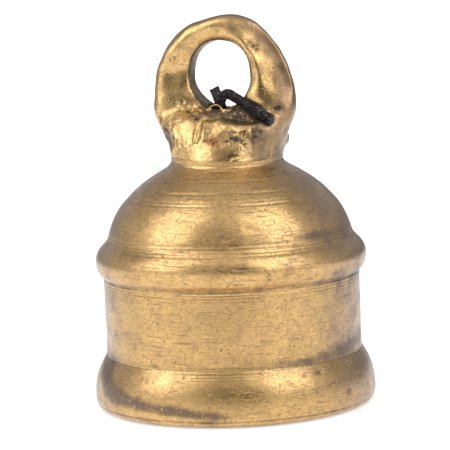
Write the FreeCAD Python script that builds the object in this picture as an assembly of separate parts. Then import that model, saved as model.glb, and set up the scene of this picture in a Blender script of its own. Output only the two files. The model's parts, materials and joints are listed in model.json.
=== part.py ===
"""Cast brass puja bell that hangs from a thick loop, with an iron clapper inside.

The turned bell body stands on its rim at z = 0, with its axis on Z.  The loop's plane is XZ, so the
hole for the hanging cord runs along Y.  The rough crown, loop and neck together, is cast on to a
spigot on top of the body.  An iron bar passes through a slot in the crown: below it makes an eye
for the clapper, above it its two ends are bent over the saddle of the loop.  Millimetres throughout.
"""
import FreeCAD, Part
import math
import os

V = FreeCAD.Vector
UP = V(0, 0, 1)

# ---- bell body: heights, from the rim up ----
foot_height = 14.8          # flared foot, rim to the start of the waist
waist_height = 20.2         # straight waist
bead_height = 11.7          # rounded bead round the shoulder
dome_height = 19.1          # dome, up to the turned collar
collar_height = 2.4         # turned collar, up to the seam with the crown
foot_widest_z = 4.2
lip_z = 0.5                 # where the rounded edge of the rim ends
bead_widest_up = 5.7        # bead's widest circle above the waist

# ---- bell body: radii and walls ----
waist_radius = 34.9
foot_flare = 3.4            # foot beyond the waist
lip_inset = 1.5             # end of the rim's rounded edge inside the foot's widest circle
bead_swell = 1.95           # bead beyond the waist
dome_step = 1.5             # foot of the dome inside the waist
collar_radius = 15.2
waist_wall = 3.2            # wall between the mouth and the waist
rest_width = 1.9            # flat ring that the bell stands on
shoulder_wall = 2.8         # wall behind the foot of the dome
crown_plate = 5.2           # metal between the inside of the dome and the collar
spigot_wall = 2.6           # metal between the staple's slot and the side of the spigot
spigot_height = 3.0

# ---- turned lines on the outside ----
line_depth = 0.18
line_cutter_radius = 0.4
dome_line_steps = (10.8, 13.0)          # above the foot of the dome
bead_line_steps = (0.5, -0.8)           # above the foot of the dome
waist_line_steps = (-0.4, -1.0)         # above the top of the waist
foot_line_steps = (0.3, -1.6)           # above the top of the foot

# ---- crown: neck and loop ----
crown_height = 37.8         # neck and loop, seam to the top of the loop
loop_half_width = 19.7
loop_widest_up = 14.8       # widest level of the loop above the seam
loop_top_shift = 3.2        # the top of the loop leans towards +X
left_fullness = (0.62, 0.64)            # up and across, 0.55 is an ellipse and more is squarer
right_fullness = (0.42, 0.50)
loop_thickness = 8.8
loop_flat = 2.0             # flat left between the rounded edges of the loop
leg_width = 11.0            # each leg of the loop, beside the hole
top_bar = 6.9               # top of the loop, above the hole
hole_shift = -0.4
hole_top_fullness = (0.60, 0.66)
hole_foot_fullness = (0.50, 0.50)
hole_rounding = 1.0
saddle_up = 12.6            # bottom of the loop's hole above the seam
neck_waist_up = 3.4         # neck swells from its foot to here
neck_waist_swell = 1.0
neck_waist_inset = 1.8      # and is flatter front and back
brow_up = 9.2               # front and back edge of the sloping saddle
brow_inset = 1.5
brow_reach = 5.0            # brow beyond the face of the loop
ridge_inset = 5.9
ridge_reach = 0.2           # top of the neck beyond the face of the loop
ridge_up = 0.6              # top of the neck above the saddle

# ---- staple, an iron bar bent into a hairpin whose legs lie one behind the other ----
bar_thickness = 2.0
bar_width = 3.2
bar_corner = 0.4
leg_gap = 0.3               # between the two legs in the slot
leg_lean = 1.5              # the legs move towards -X on their way up
slot_end_play = 1.6         # slot beyond the legs along X
slot_side_play = 0.85       # slot beyond the legs along Y
staple_eye_radius = 3.0     # inside of the eye
staple_eye_drop = 5.2       # eye's centre below the inside of the dome
short_end = V(-2.4, 1.6, 4.6)           # short end from where its leg leaves the slot
long_turn = V(2.4, -1.6, 4.1)           # corner where the long leg turns over
long_end = V(17.1, -6.5, -3.4)          # long end from where its leg leaves the slot
long_end_bend = 2.8
leg_bend = 2.5

# ---- clapper ----
link_wire_radius = 1.2
link_slack = 0.56           # left over in the link beside the staple's bar and the rod
link_split = 8.0            # degrees left open where the link's two ends meet
rod_radius = 1.45
rod_eye_radius = 3.9        # to the middle of the rod
rod_neck_bend = 2.6
eye_opening = 64.0          # degrees of the rod's eye that stay open
running_gap = 0.35          # between pieces that hang in each other
bob_radius = 7.6
bob_height = 15.0
bob_floor_gap = 4.2         # bob's lowest point above the rim
shoulder_radius = 2.7       # upset on the rod above the bob
shoulder_height = 1.6
rivet_radius = 2.7          # peened end of the rod under the bob
rivet_height = 1.2

# ---- levels and radii worked out from the sizes above ----
waist_top = foot_height + waist_height
dome_foot = waist_top + bead_height
collar_foot = dome_foot + dome_height
seam = collar_foot + collar_height
loop_top = seam + crown_height
dome_inside_top = collar_foot - crown_plate
foot_radius = waist_radius + foot_flare
bead_radius = waist_radius + bead_swell
dome_foot_radius = waist_radius - dome_step
mouth_radius = waist_radius - waist_wall
rest_radius = mouth_radius + rest_width

saddle = seam + saddle_up
hole_height = crown_height - saddle_up - top_bar
hole_middle = saddle + 0.46 * hole_height
hole_half_width = loop_half_width - leg_width
loop_rounding = (loop_thickness - loop_flat) / 2

legs_depth = 2 * bar_thickness + leg_gap
slot_length = bar_width + leg_lean + 2 * slot_end_play
slot_width = legs_depth + 2 * slot_side_play
slot_middle = -leg_lean / 2
spigot_radius = slot_length / 2 + abs(slot_middle) + spigot_wall

staple_eye = dome_inside_top - staple_eye_drop
staple_bar = staple_eye - staple_eye_radius - bar_thickness / 2
bar_reach = math.hypot(bar_width, bar_thickness) / 2 - bar_corner * (math.sqrt(2) - 1)
link_inside = bar_reach + rod_radius + running_gap + link_slack / 2
link_ring_radius = link_inside + link_wire_radius
link_middle = staple_bar + bar_reach + running_gap + link_wire_radius - link_ring_radius
link_bottom = link_middle - link_ring_radius
rod_eye = link_bottom + link_wire_radius + running_gap + rod_radius - rod_eye_radius
bob_top = bob_floor_gap + bob_height


def bezier(*points):
    """Edge of a Bezier curve with these control points in the XZ plane."""
    curve = Part.BezierCurve()
    curve.setPoles([V(x, 0, z) for x, z in points])
    return curve.toShape()


def line(a, b):
    """Straight edge between two points of the XZ plane."""
    return Part.makeLine(V(a[0], 0, a[1]), V(b[0], 0, b[1]))


def spin(edges):
    """Solid of revolution about Z from a closed outline in the XZ plane."""
    return Part.Face(Part.Wire(edges)).revolve(V(0, 0, 0), UP, 360)


def quarter(start, end, fullness):
    """Quarter of a rounded shape, upright at its side and level at its top or bottom."""
    side, level = (start, end) if abs(start[0] - hole_shift) > abs(end[0] - hole_shift) else (end, start)
    up, across = fullness
    near_side = (side[0], side[1] + up * (level[1] - side[1]))
    near_level = (level[0] + across * (side[0] - level[0]), level[1])
    handles = (near_side, near_level) if side is start else (near_level, near_side)
    return bezier(start, *handles, end)


def superellipse(half_x, half_y, power, z):
    """Closed level outline, an ellipse at power 2 and squarer above it."""
    points = []
    for i in range(24):
        a = 2 * math.pi * i / 24
        c, s = math.cos(a), math.sin(a)
        x = half_x * math.copysign(abs(c) ** (2 / power), c)
        y = half_y * math.copysign(abs(s) ** (2 / power), s)
        points.append(V(x, y, z))
    curve = Part.BSplineCurve()
    curve.interpolate(points, PeriodicFlag=True)
    return Part.Wire(curve.toShape())


def rounded_run(points, radii):
    """Straight runs through the points, with a tangent arc of the given radius at each inner one."""
    edges = []
    at = points[0]
    for before, corner, after, radius in zip(points, points[1:], points[2:], radii):
        back = (before - corner).normalize()
        ahead = (after - corner).normalize()
        half_turn = (math.pi - back.getAngle(ahead)) / 2
        reach = radius * math.tan(half_turn)
        start = corner + back * reach
        end = corner + ahead * reach
        inward = (back + ahead).normalize()
        middle = corner + inward * (radius / math.cos(half_turn) - radius)
        edges += [Part.makeLine(at, start), Part.Arc(start, middle, end).toShape()]
        at = end
    return edges + [Part.makeLine(at, points[-1])]


def tangent_point(outside, centre, radius, side):
    """Where the line from an outside point touches a circle in the YZ plane; side is 1 or -1."""
    d = outside - centre
    angle = math.atan2(d.z, d.y) + side * math.acos(radius / d.Length)
    return centre + V(0, math.cos(angle), math.sin(angle)) * radius


def body_outside():
    """Edges of the body's outer outline, from the rest ring up to the top of the collar."""
    bead_widest = (bead_radius, waist_top + bead_widest_up)
    widest = (foot_radius, foot_widest_z)
    foot_top = (waist_radius, foot_height)
    upper = foot_height - foot_widest_z
    bead_drop = dome_foot - bead_widest[1]
    dome_span = dome_foot_radius - collar_radius
    lip_radius = foot_radius - lip_inset
    return [
        bezier((rest_radius, 0), (rest_radius + 0.7 * (lip_radius - rest_radius), 0), (lip_radius, lip_z)),
        bezier((lip_radius, lip_z), (foot_radius, lip_z + 0.4 * (foot_widest_z - lip_z)), widest),
        bezier(widest, (foot_radius, foot_widest_z + 0.45 * upper),
               (waist_radius + 0.55 * foot_flare, foot_widest_z + 0.76 * upper), foot_top),
        line(foot_top, (waist_radius, waist_top)),
        bezier((waist_radius, waist_top), (waist_radius + 0.1, waist_top + 0.35 * bead_widest_up),
               (bead_radius, waist_top + 0.45 * bead_widest_up), bead_widest),
        bezier(bead_widest, (bead_radius, bead_widest[1] + 0.5 * bead_drop),
               (dome_foot_radius + 0.3, dome_foot - 0.2 * bead_drop), (dome_foot_radius, dome_foot)),
        bezier((dome_foot_radius, dome_foot), (dome_foot_radius - 0.5, dome_foot + 0.39 * dome_height),
               (collar_radius + 0.53 * dome_span, collar_foot - 0.27 * dome_height),
               (collar_radius, collar_foot)),
        line((collar_radius, collar_foot), (collar_radius, seam)),
    ]


def make_bell_body():
    outside = body_outside()
    inner_foot = (dome_foot_radius - shoulder_wall, dome_foot - 1.5)
    inside = [
        bezier((0, dome_inside_top), (0.65 * inner_foot[0], dome_inside_top),
               (inner_foot[0] - 0.4, inner_foot[1] + 0.5 * (dome_inside_top - inner_foot[1])), inner_foot),
        line(inner_foot, (mouth_radius, 0)),
        line((mouth_radius, 0), (rest_radius, 0)),
    ]
    top = [
        line((collar_radius, seam), (spigot_radius, seam)),
        line((spigot_radius, seam), (spigot_radius, seam + spigot_height)),
        line((spigot_radius, seam + spigot_height), (0, seam + spigot_height)),
        line((0, seam + spigot_height), (0, dome_inside_top)),
    ]
    body = spin(outside + top + inside)
    skin = Part.Wire(outside)
    levels = [dome_foot + s for s in dome_line_steps + bead_line_steps]
    levels += [waist_top + s for s in waist_line_steps]
    levels += [foot_height + s for s in foot_line_steps]
    for z in levels:
        level_line = Part.makeLine(V(spigot_radius, 0, z), V(2 * foot_radius, 0, z))
        radius = skin.distToShape(level_line)[1][0][0].x
        cutter = Part.makeTorus(radius + line_cutter_radius - line_depth, line_cutter_radius, V(0, 0, z), UP)
        body = body.cut(cutter)
    return body.cut(staple_slot())


def staple_slot():
    """Oval slot for the staple's legs, from the inside of the dome up through the saddle."""
    half = slot_width / 2
    straight = slot_length / 2 - half
    low = dome_inside_top - 1
    a, b = V(slot_middle - straight, -half, low), V(slot_middle + straight, -half, low)
    c, d = V(slot_middle + straight, half, low), V(slot_middle - straight, half, low)
    outline = Part.Wire([
        Part.makeLine(a, b),
        Part.Arc(b, V(slot_middle + slot_length / 2, 0, low), c).toShape(),
        Part.makeLine(c, d),
        Part.Arc(d, V(slot_middle - slot_length / 2, 0, low), a).toShape(),
    ])
    return Part.Face(outline).extrude(UP * (hole_middle - low))


def make_loop_plate():
    """Thick plate with the loop's outline and hole, rounded along both."""
    widest = seam + loop_widest_up
    top = (loop_top_shift, loop_top)
    left, right = (-loop_half_width, widest), (loop_half_width, widest)
    foot_left, foot_right = (-collar_radius, seam), (collar_radius, seam)
    drop = 0.45 * loop_widest_up
    outline = Part.Wire([
        quarter(left, top, left_fullness),
        quarter(top, right, right_fullness),
        bezier(right, (loop_half_width, widest - drop), (collar_radius + 1.2, seam + drop), foot_right),
        line(foot_right, foot_left),
        bezier(foot_left, (-collar_radius - 1.2, seam + drop), (-loop_half_width, widest - drop), left),
    ])
    plate = Part.Face(outline).extrude(V(0, loop_thickness, 0))
    plate.translate(V(0, -loop_thickness / 2, 0))
    plate = plate.makeFillet(loop_rounding, [e for e in plate.Edges if lies_in_face(e)])
    plate = plate.cut(make_loop_hole())
    return plate.makeFillet(hole_rounding, [e for e in plate.Edges if lies_in_face(e) and is_by_hole(e)])


def lies_in_face(edge):
    """True for an edge in one of the plate's flat faces, but not for its straight foot."""
    return edge.BoundBox.YLength < 0.01 and edge.BoundBox.ZMax > seam + 0.1


def is_by_hole(edge):
    """True for an edge inside the middle line of the loop's legs and top bar, above the saddle."""
    box = edge.BoundBox
    leg_middle = loop_half_width - leg_width / 2
    inside = -leg_middle < box.XMin and box.XMax < leg_middle
    return inside and saddle - 0.1 < box.ZMin and box.ZMax < loop_top - top_bar / 2


def make_loop_hole():
    """Egg-shaped cutter for the hole of the loop."""
    left, right = (hole_shift - hole_half_width, hole_middle), (hole_shift + hole_half_width, hole_middle)
    top, bottom = (hole_shift, saddle + hole_height), (hole_shift, saddle)
    outline = Part.Wire([
        quarter(left, top, hole_top_fullness),
        quarter(top, right, hole_top_fullness),
        quarter(right, bottom, hole_foot_fullness),
        quarter(bottom, left, hole_foot_fullness),
    ])
    cutter = Part.Face(outline).extrude(V(0, 4 * brow_half_depth(), 0))
    cutter.translate(V(0, -2 * brow_half_depth(), 0))
    return cutter


def brow_half_depth():
    """Distance from the axis to the front and back edge of the saddle."""
    return loop_thickness / 2 + brow_reach


def make_neck():
    """Rough neck, round at the seam and rising to a ridge under the loop's hole."""
    waist = collar_radius + neck_waist_swell
    brow = loop_half_width - brow_inset
    ridge = loop_half_width - ridge_inset
    sections = [
        superellipse(collar_radius, collar_radius, 2.0, seam),
        superellipse(waist, collar_radius - neck_waist_inset, 2.2, seam + neck_waist_up),
        superellipse(brow, brow_half_depth(), 2.7, seam + brow_up),
        superellipse(ridge, loop_thickness / 2 + ridge_reach, 2.5, saddle + ridge_up),
    ]
    return Part.makeLoft(sections, True)


def make_crown_loop():
    crown = make_neck().cut(make_loop_hole()).fuse(make_loop_plate())
    socket = Part.makeCylinder(spigot_radius, spigot_height, V(0, 0, seam))
    return crown.cut(socket).cut(staple_slot()).cut(make_staple()).removeSplitter()


def make_staple():
    half_pitch = (bar_thickness + leg_gap) / 2
    bend_radius = staple_eye_radius + bar_thickness / 2
    eye = V(0, 0, staple_eye)
    low = dome_inside_top
    rise = V(-leg_lean, 0, saddle + ridge_up - low)
    back_low, front_low = V(0, half_pitch, low), V(0, -half_pitch, low)
    back_high, front_high = back_low + rise, front_low + rise
    back_touch = tangent_point(back_low, eye, bend_radius, -1)
    front_touch = tangent_point(front_low, eye, bend_radius, 1)
    start = back_high + short_end
    edges = rounded_run([start, back_high, back_low, back_touch], [leg_bend, leg_bend])
    edges.append(Part.Arc(back_touch, eye - UP * bend_radius, front_touch).toShape())
    edges += rounded_run([front_touch, front_low, front_high, front_high + long_turn, front_high + long_end],
                         [leg_bend, leg_bend, long_end_bend])
    path = Part.Wire(edges)
    return path.makePipeShell([bar_outline(start, short_end * -1)], True, False)


def bar_outline(at, along):
    """Rounded rectangle of the bar's section at a point, square to a direction."""
    normal = V(along).normalize()
    wide = (V(1, 0, 0) - normal * normal.x).normalize()
    thin = normal.cross(wide)
    signs = [(1, 1), (-1, 1), (-1, -1), (1, -1)]
    corners = [at + wide * (a * bar_width / 2) + thin * (b * bar_thickness / 2) for a, b in signs]
    edges = []
    for before, corner, after in zip(corners[-1:] + corners, corners, corners[1:] + corners[:1]):
        edges += rounded_run([(before + corner) * 0.5, corner, (corner + after) * 0.5], [bar_corner])
    return Part.Wire(edges)


def make_link():
    """Round link bent from rod, with a narrow split where its ends meet."""
    half_split = math.radians(link_split / 2)
    middle = V(0, 0, link_middle)
    end = middle + V(math.cos(half_split), 0, math.sin(half_split)) * link_ring_radius
    along = V(-math.sin(half_split), 0, math.cos(half_split))
    section = Part.Face(Part.Wire(Part.makeCircle(link_wire_radius, end, along)))
    return section.revolve(middle, V(0, -1, 0), 360 - link_split)


def make_rod():
    """Iron rod with an eye bent in its top, an upset shoulder over the bob and a peened end."""
    rise = math.sqrt(rod_eye_radius ** 2 + 2 * rod_eye_radius * rod_neck_bend)
    bend_start = V(0, 0, rod_eye - rise)
    bend_middle = bend_start + V(0, rod_neck_bend, 0)
    eye = V(0, 0, rod_eye)
    toward = (bend_middle - eye).normalize()
    touch = eye + toward * rod_eye_radius
    begin = math.atan2(toward.z, toward.y)
    turn = math.radians(360 - eye_opening)
    half_way, end = (eye_point(begin + turn * share) for share in (0.5, 1.0))
    half_bend = bend_middle + (V(0, -1, 0) - toward).normalize() * rod_neck_bend
    foot = V(0, 0, bob_floor_gap)
    path = Part.Wire([
        Part.makeLine(foot, bend_start),
        Part.Arc(bend_start, half_bend, touch).toShape(),
        Part.Arc(touch, half_way, end).toShape(),
    ])
    section = Part.Wire(Part.makeCircle(rod_radius, foot, UP))
    rod = path.makePipeShell([section], True, False)
    shoulder = Part.makeCone(shoulder_radius, rod_radius, shoulder_height, V(0, 0, bob_top))
    rivet = Part.makeCone(rod_radius, rivet_radius, rivet_height, V(0, 0, bob_floor_gap - rivet_height))
    return rod.fuse([shoulder, rivet]).removeSplitter()


def eye_point(angle):
    """Point of the rod's eye at an angle in the YZ plane."""
    return V(0, math.cos(angle), math.sin(angle)) * rod_eye_radius + UP * rod_eye


def make_bob():
    """Pear-shaped brass bob, bored for the rod and flat where the rod's shoulder and rivet sit."""
    widest = (bob_radius, bob_floor_gap + 0.42 * bob_height)
    return spin([
        line((rod_radius, bob_floor_gap), (rivet_radius + 0.6, bob_floor_gap)),
        bezier((rivet_radius + 0.6, bob_floor_gap), (bob_radius * 0.8, bob_floor_gap),
               (bob_radius, bob_floor_gap + 0.16 * bob_height), widest),
        bezier(widest, (bob_radius, bob_floor_gap + 0.72 * bob_height),
               (shoulder_radius + 1.2, bob_floor_gap + 0.78 * bob_height), (shoulder_radius + 0.6, bob_top)),
        line((shoulder_radius + 0.6, bob_top), (rod_radius, bob_top)),
        line((rod_radius, bob_top), (rod_radius, bob_floor_gap)),
    ])


def main():
    os.makedirs("parts", exist_ok=True)
    nodes = {
        "bell_body": make_bell_body(),
        "crown_loop": make_crown_loop(),
        "clapper_staple": make_staple(),
        "clapper_link": make_link(),
        "clapper_rod": make_rod(),
        "clapper_bob": make_bob(),
    }
    for name, shape in nodes.items():
        shape.exportStep(f"parts/{name}.step")
        print(f"{name}: {len(shape.Solids)} solid, valid {shape.isValid()}, {shape.Volume / 1000:.2f} cm3")
    print(f"overall height {loop_top:.1f}, hinges at {staple_bar:.2f} and {link_bottom:.2f}")


main()
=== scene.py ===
import json
import math

import bpy
import numpy as np
from mathutils import Matrix, Vector

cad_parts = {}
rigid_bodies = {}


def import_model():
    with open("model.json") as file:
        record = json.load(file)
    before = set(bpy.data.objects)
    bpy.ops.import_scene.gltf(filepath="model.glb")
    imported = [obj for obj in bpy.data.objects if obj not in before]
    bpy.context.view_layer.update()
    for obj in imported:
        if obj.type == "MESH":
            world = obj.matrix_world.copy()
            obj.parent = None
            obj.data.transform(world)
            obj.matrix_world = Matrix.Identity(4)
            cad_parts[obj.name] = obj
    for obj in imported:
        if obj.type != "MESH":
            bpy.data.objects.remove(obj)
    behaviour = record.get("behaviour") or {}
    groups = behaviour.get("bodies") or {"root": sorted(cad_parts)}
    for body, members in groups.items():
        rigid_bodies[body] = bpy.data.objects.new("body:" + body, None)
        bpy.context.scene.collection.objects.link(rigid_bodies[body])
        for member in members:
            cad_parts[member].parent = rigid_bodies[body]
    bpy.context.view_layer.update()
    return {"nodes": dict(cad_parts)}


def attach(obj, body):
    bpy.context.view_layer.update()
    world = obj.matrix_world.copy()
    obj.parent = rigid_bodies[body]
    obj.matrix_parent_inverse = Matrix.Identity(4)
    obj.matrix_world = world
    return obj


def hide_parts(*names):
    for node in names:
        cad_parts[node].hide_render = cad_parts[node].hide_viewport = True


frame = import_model()
mm = 0.001


def startAlone():
    if bpy.context.mode != "OBJECT":
        bpy.ops.object.mode_set(mode="OBJECT")
    bpy.ops.object.select_all(action="DESELECT")


def pickUp(piece):
    startAlone()
    piece.select_set(True)
    bpy.context.view_layer.objects.active = piece


def applyModifier(piece, kind, **settings):
    pickUp(piece)
    modifier = piece.modifiers.new(kind.lower(), kind)
    for name, value in settings.items():
        setattr(modifier, name, value)
    bpy.ops.object.modifier_apply(modifier=modifier.name)


# a copy of a CAD node's skin, joined up and with even faces
def copyOfNode(node, name, grain):
    startAlone()
    source = frame["nodes"][node]
    hidden = source.hide_get()
    source.hide_set(False)
    source.select_set(True)
    bpy.context.view_layer.objects.active = source
    bpy.ops.object.duplicate()
    piece = bpy.context.view_layer.objects.active
    source.hide_set(hidden)
    piece.name = name
    bpy.ops.object.parent_clear(type="CLEAR_KEEP_TRANSFORM")
    piece.data.materials.clear()
    bpy.ops.object.mode_set(mode="EDIT")
    bpy.ops.mesh.select_all(action="SELECT")
    bpy.ops.mesh.remove_doubles(threshold=0.002 * mm)
    bpy.ops.object.mode_set(mode="OBJECT")
    applyModifier(piece, "REMESH", mode="VOXEL", voxel_size=grain * mm)
    return piece


# a round bead along a few points in mm, each with its own radius
def beadAlong(points):
    startAlone()
    bpy.ops.curve.primitive_bezier_curve_add()
    curve = bpy.context.object
    curve.data.dimensions = "3D"
    curve.data.bevel_depth = mm
    curve.data.bevel_resolution = 3
    curve.data.use_fill_caps = True
    spline = curve.data.splines[0]
    spline.bezier_points.add(len(points) - 2)
    for knot, (x, y, z, radius) in zip(spline.bezier_points, points):
        knot.co = (x * mm, y * mm, z * mm)
        knot.radius = radius
        knot.handle_left_type = knot.handle_right_type = "AUTO"
    bpy.ops.object.convert(target="MESH")
    return curve


def readPlaces(piece):
    flat = np.zeros(len(piece.data.vertices) * 3)
    piece.data.vertices.foreach_get("co", flat)
    return flat.reshape(-1, 3) / mm


def readNormals(piece):
    flat = np.zeros(len(piece.data.vertices) * 3)
    piece.data.vertices.foreach_get("normal", flat)
    return flat.reshape(-1, 3)


def writePlaces(piece, places):
    piece.data.vertices.foreach_set("co", (places * mm).ravel())
    piece.data.update()


def smoothRise(values, low, high):
    share = np.clip((values - low) / (high - low), 0, 1)
    return share ** 2 * (3 - 2 * share)


# sum of soft round spots, each strongest at its middle and gone at about twice its reach
def spotField(places, spots):
    total = np.zeros(len(places))
    for x, y, z, reach, amount in spots:
        away = np.linalg.norm(places - np.array((x, y, z)), axis=1)
        total += amount * np.exp(-(away / reach) ** 2)
    return total


# in or out along the skin's own direction, in mm
def pressIn(piece, depths):
    places, normals = readPlaces(piece), readNormals(piece)
    writePlaces(piece, places + normals * depths[:, None])


def pressSpots(piece, spots):
    pressIn(piece, spotField(readPlaces(piece), spots))


# a groove or ridge that follows a few points
def pressLine(piece, points, reach, depth):
    places = readPlaces(piece)
    nearest = np.full(len(places), 1e9)
    for start, end in zip(points, points[1:]):
        a, b = np.array(start, float), np.array(end, float)
        along = np.clip(((places - a) @ (b - a)) / ((b - a) @ (b - a)), 0, 1)
        away = np.linalg.norm(places - a - along[:, None] * (b - a), axis=1)
        nearest = np.minimum(nearest, away)
    pressIn(piece, depth * np.exp(-(nearest / reach) ** 2))


# uneven skin from soft noise: size of its lumps and their height in mm, and how many finer layers it has
def unevenSkin(piece, size, height, layers, group=""):
    cloud = bpy.data.textures.new("unevenSkin", "CLOUDS")
    cloud.noise_scale = size * mm
    cloud.noise_depth = layers
    applyModifier(piece, "DISPLACE", texture=cloud, texture_coords="GLOBAL", strength=2 * height * mm,
                  mid_level=0.5, vertex_group=group)


# a vertex group with its weights in steps of a tenth
def groupFrom(piece, name, weight):
    group = piece.vertex_groups.new(name=name)
    for step in range(1, 11):
        chosen = np.nonzero(np.round(weight * 10) == step)[0]
        group.add(chosen.tolist(), step / 10, "REPLACE")


def paintAmount(piece, name, values):
    layer = piece.data.attributes.new(name, "FLOAT", "POINT")
    layer.data.foreach_set("value", np.clip(values, 0, 1).astype(np.float32))


def finishPiece(piece, node, body, material):
    pickUp(piece)
    bpy.ops.object.shade_smooth()
    piece.data.materials.clear()
    piece.data.materials.append(material)
    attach(piece, body)
    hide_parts(node)


# a shader node; an input may be a value or another node's output
def addNode(tree, kind, inputs=None, **settings):
    node = tree.nodes.new(kind)
    for name, value in settings.items():
        setattr(node, name, value)
    for name, value in (inputs or {}).items():
        socket = node.inputs[name]
        if isinstance(value, bpy.types.NodeSocket):
            tree.links.new(value, socket)
        else:
            socket.default_value = value
    return node


def mathNode(tree, operation, a, b=0.0, clamp=False):
    return addNode(tree, "ShaderNodeMath", {0: a, 1: b}, operation=operation, use_clamp=clamp).outputs[0]


def spread(tree, value, low, high, toLow=0.0, toHigh=1.0):
    inputs = {"Value": value, "From Min": low, "From Max": high, "To Min": toLow, "To Max": toHigh}
    return addNode(tree, "ShaderNodeMapRange", inputs, interpolation_type="SMOOTHSTEP").outputs["Result"]


# soft noise whose lumps are this many mm long along the turned axes
def noiseNode(tree, place, size, detail=4.0, roughness=0.55, turn=(0, 0, 0)):
    sizes = size if isinstance(size, tuple) else (size, size, size)
    where = {"Vector": place, "Scale": sizes, "Rotation": turn}
    where = addNode(tree, "ShaderNodeMapping", where, vector_type="TEXTURE").outputs["Vector"]
    inputs = {"Vector": where, "Scale": 1.0, "Detail": detail, "Roughness": roughness}
    return addNode(tree, "ShaderNodeTexNoise", inputs).outputs["Fac"]


# the mix node's colour sockets are its inputs 6 and 7 and its output 2
def mixColour(tree, amount, a, b):
    return addNode(tree, "ShaderNodeMix", {0: amount, 6: a, 7: b}, data_type="RGBA").outputs[2]


def attributeNode(tree, name):
    return addNode(tree, "ShaderNodeAttribute", attribute_name=name).outputs["Fac"]


# from -0.5 to 0.5 round the noise's middle, made stronger
def centred(tree, noise, strength):
    return mathNode(tree, "MULTIPLY", mathNode(tree, "SUBTRACT", noise, 0.5), strength)


def tint(red, green, blue):
    return (red, green, blue, 1.0)


# a new material with its surface shader, and its object coordinates in metres
def newMaterial(name):
    material = bpy.data.materials.new(name)
    material.use_nodes = True
    tree = material.node_tree
    where = addNode(tree, "ShaderNodeTexCoord").outputs["Object"]
    return material, tree, tree.nodes["Principled BSDF"], where


def inMillimetres(tree, where):
    scale = (1 / mm, 1 / mm, 1 / mm)
    return addNode(tree, "ShaderNodeMapping", {"Vector": where, "Scale": scale}).outputs["Vector"]


def bumpFrom(tree, surface, height, distance, strength):
    inputs = {"Height": height, "Distance": distance * mm, "Strength": strength}
    bump = addNode(tree, "ShaderNodeBump", inputs).outputs["Normal"]
    tree.links.new(bump, surface.inputs["Normal"])


# fine marks of files, sand and years of handling: size in mm, turn, where the noise starts to mark, strength
scratchWork = [((9.0, 9.0, 0.24), (0.04, 0.03, 0), 0.63, 0.8), ((2.8, 2.8, 0.22), (0.2, 0.5, 0), 0.64, 0.8),
               ((2.2, 2.2, 0.22), (0.3, -0.8, 0), 0.64, 0.9), ((1.3, 1.3, 0.2), (0.5, 1.1, 0), 0.65, 0.9),
               ((0.22, 0.22, 2.4), (0.05, 0.06, 0), 0.65, 0.8)]
scratchEdge = 0.06


def scratchLayer(tree, place, look):
    scratches = None
    for size, turn, start, strength in scratchWork:
        noise = noiseNode(tree, place, size, 2, 0.5, turn)
        layer = spread(tree, noise, start, start + scratchEdge, 0, strength)
        scratches = layer if scratches is None else mathNode(tree, "MAXIMUM", scratches, layer)
    return mathNode(tree, "MULTIPLY", scratches, look["scratches"])


# single pits strewn all over, and holes crowded together where the skin is marked as pitted
def pitLayer(tree, place, look):
    cells = addNode(tree, "ShaderNodeTexVoronoi", {"Vector": place, "Scale": look["pitScale"]})
    chance = addNode(tree, "ShaderNodeSeparateColor", {0: cells.outputs["Color"]}).outputs[0]
    pits = spread(tree, cells.outputs["Distance"], 0.04, 0.2, 1.0, 0.0)
    pits = mathNode(tree, "MULTIPLY", pits, spread(tree, chance, 0.45, 0.95))
    holes = spread(tree, noiseNode(tree, place, 0.85, 4, 0.65), 0.53, 0.57)
    holes = mathNode(tree, "MULTIPLY", holes, spread(tree, attributeNode(tree, "pitted"), 0.1, 0.7))
    return mathNode(tree, "MULTIPLY", mathNode(tree, "MAXIMUM", pits, holes), look["pits"])


# dirt and painted shade have a ragged edge and let flecks of brass through
def grimeAndShadeLayer(tree, place, raggedEdge):
    grimeAndShade = attributeNode(tree, "grimeAndShade")
    ragged = mathNode(tree, "MULTIPLY", raggedEdge, spread(tree, grimeAndShade, 0.02, 0.4))
    amount = spread(tree, mathNode(tree, "ADD", grimeAndShade, ragged), 0.05, 1.0)
    flecks = spread(tree, noiseNode(tree, place, 0.8, 4, 0.7), 0.56, 0.66, 0.0, 0.75)
    return mathNode(tree, "MULTIPLY", amount, mathNode(tree, "SUBTRACT", 1.0, flecks))
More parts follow.
